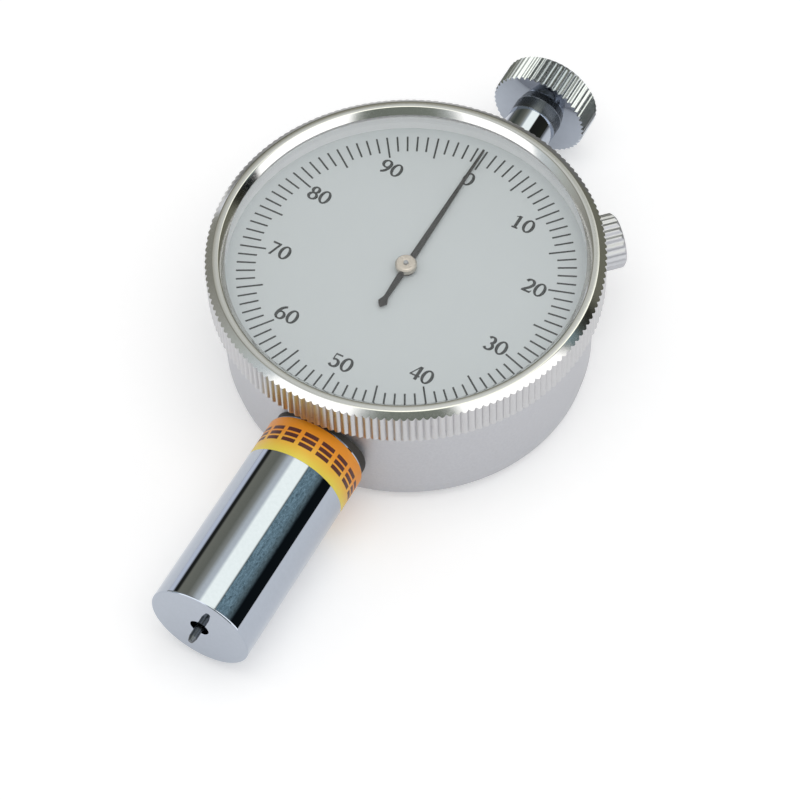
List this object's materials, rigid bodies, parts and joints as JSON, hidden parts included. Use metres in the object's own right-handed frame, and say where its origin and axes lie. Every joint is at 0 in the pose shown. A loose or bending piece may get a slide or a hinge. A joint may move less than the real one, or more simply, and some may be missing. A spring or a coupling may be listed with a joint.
{
  "type": "dial durometer",
  "caption": "Hand-held dial durometer for rubber: a spring-loaded indenter in a chromed barrel foot drives a pointer over a round knurled dial, with a top knob.",
  "frame": {"origin": "on the dial's axis, in the plane of the flat back", "axes": "+Z out of the dial, +Y towards the knob, the foot and its indenter point to -Y"},
  "size_m": [0.06, 0.1148, 0.025],
  "materials": {
    "case_alloy": "fine matt blasted die casting",
    "chrome_plate": "bright chrome plate over turned steel",
    "bezel_chrome": "bright turned land and chamfer, satin straight knurl",
    "steel": "turned",
    "spring_steel": "drawn wire",
    "indenter_steel": "hardened and ground",
    "brass": "turned and milled",
    "hairspring_steel": "blued strip",
    "label_paper": "printed paper, yellow to orange",
    "dial_lacquer": "fine matt pale blue-grey lacquer",
    "dial_ink": "matt printed ink",
    "spacer_white": "matt moulded ring",
    "pointer_lacquer": "black lacquer",
    "hub_nickel": "turned nickel",
    "crystal_clear": "clear polished acrylic"
  },
  "bodies": {
    "case": {"case": "case_alloy", "back_cover": "case_alloy", "back_cover_screws": "steel", "barrel": "chrome_plate", "barrel_neck": "steel", "barrel_lock_nut": "steel", "label_band": "label_paper", "spring_adjuster": "brass", "main_spring": "spring_steel", "spindle_guide_bush": "brass", "lower_plate": "brass", "lower_plate_screws": "steel", "plate_pillars": "brass", "upper_plate": "brass", "upper_plate_screws": "steel", "hairspring": "hairspring_steel", "hairspring_stud": "brass", "bezel_retaining_ring": "spring_steel", "top_stem": "chrome_plate", "stem_lock_nut": "steel"},
    "plunger": {"spindle": "steel", "indenter": "indenter_steel"},
    "gear": {"intermediate_arbor": "steel", "intermediate_gear": "brass"},
    "pointer": {"centre_arbor": "steel", "hairspring_collet": "brass", "pointer": "pointer_lacquer", "pointer_hub": "hub_nickel"},
    "bezel": {"bezel": "bezel_chrome", "crystal": "crystal_clear", "dial_spacer": "spacer_white", "dial_plate": "dial_lacquer", "dial_print": "dial_ink", "dial_carrier": "case_alloy"},
    "clamp_shoe": {"clamp_shoe": "brass"},
    "clamp_screw": {"clamp_screw": "chrome_plate"},
    "knob": {"knob": "chrome_plate"}
  },
  "joints": [
    {"name": "indenter_slide", "type": "slide", "parent": "case", "child": "plunger", "axis": [0, 1, 0], "range_m": [0, 0.0025], "stiffness_N_per_m": 3004, "springref_m": -0.00018, "deforming": ["main_spring", "hairspring"]},
    {"name": "gear_turn", "type": "hinge", "parent": "case", "child": "gear", "pos_m": [-0.00359, -0.00798, 0.0096], "axis": [0, 0, 1], "range_deg": [-0.5, 60.5]},
    {"name": "pointer_turn", "type": "hinge", "parent": "case", "child": "pointer", "pos_m": [0, 0, 0.0207], "axis": [0, 0, 1], "range_deg": [-361, 1]},
    {"name": "bezel_turn", "type": "hinge", "parent": "case", "child": "bezel", "pos_m": [0, 0, 0.02], "axis": [0, 0, 1], "continuous": true},
    {"name": "clamp_shoe_slide", "type": "slide", "parent": "case", "child": "clamp_shoe", "axis": [0.7071, 0.7071, 0], "range_m": [0, 0.0005]},
    {"name": "clamp_screw_turn", "type": "hinge", "parent": "clamp_shoe", "child": "clamp_screw", "pos_m": [0.0205, 0.0205, 0.0143], "axis": [0.7071, 0.7071, 0], "range_deg": [-1, 361]},
    {"name": "knob_turn", "type": "hinge", "parent": "case", "child": "knob", "pos_m": [0, 0.0467, 0.0096], "axis": [0, 1, 0], "range_deg": [0, 360]}
  ],
  "couplings": [
    {"joint": "gear_turn", "follows": "indenter_slide", "rad_per_m": 418.88},
    {"joint": "pointer_turn", "follows": "indenter_slide", "rad_per_m": -2513.3},
    {"joint": "clamp_screw_turn", "follows": "clamp_shoe_slide", "rad_per_m": 12566}
  ]
}
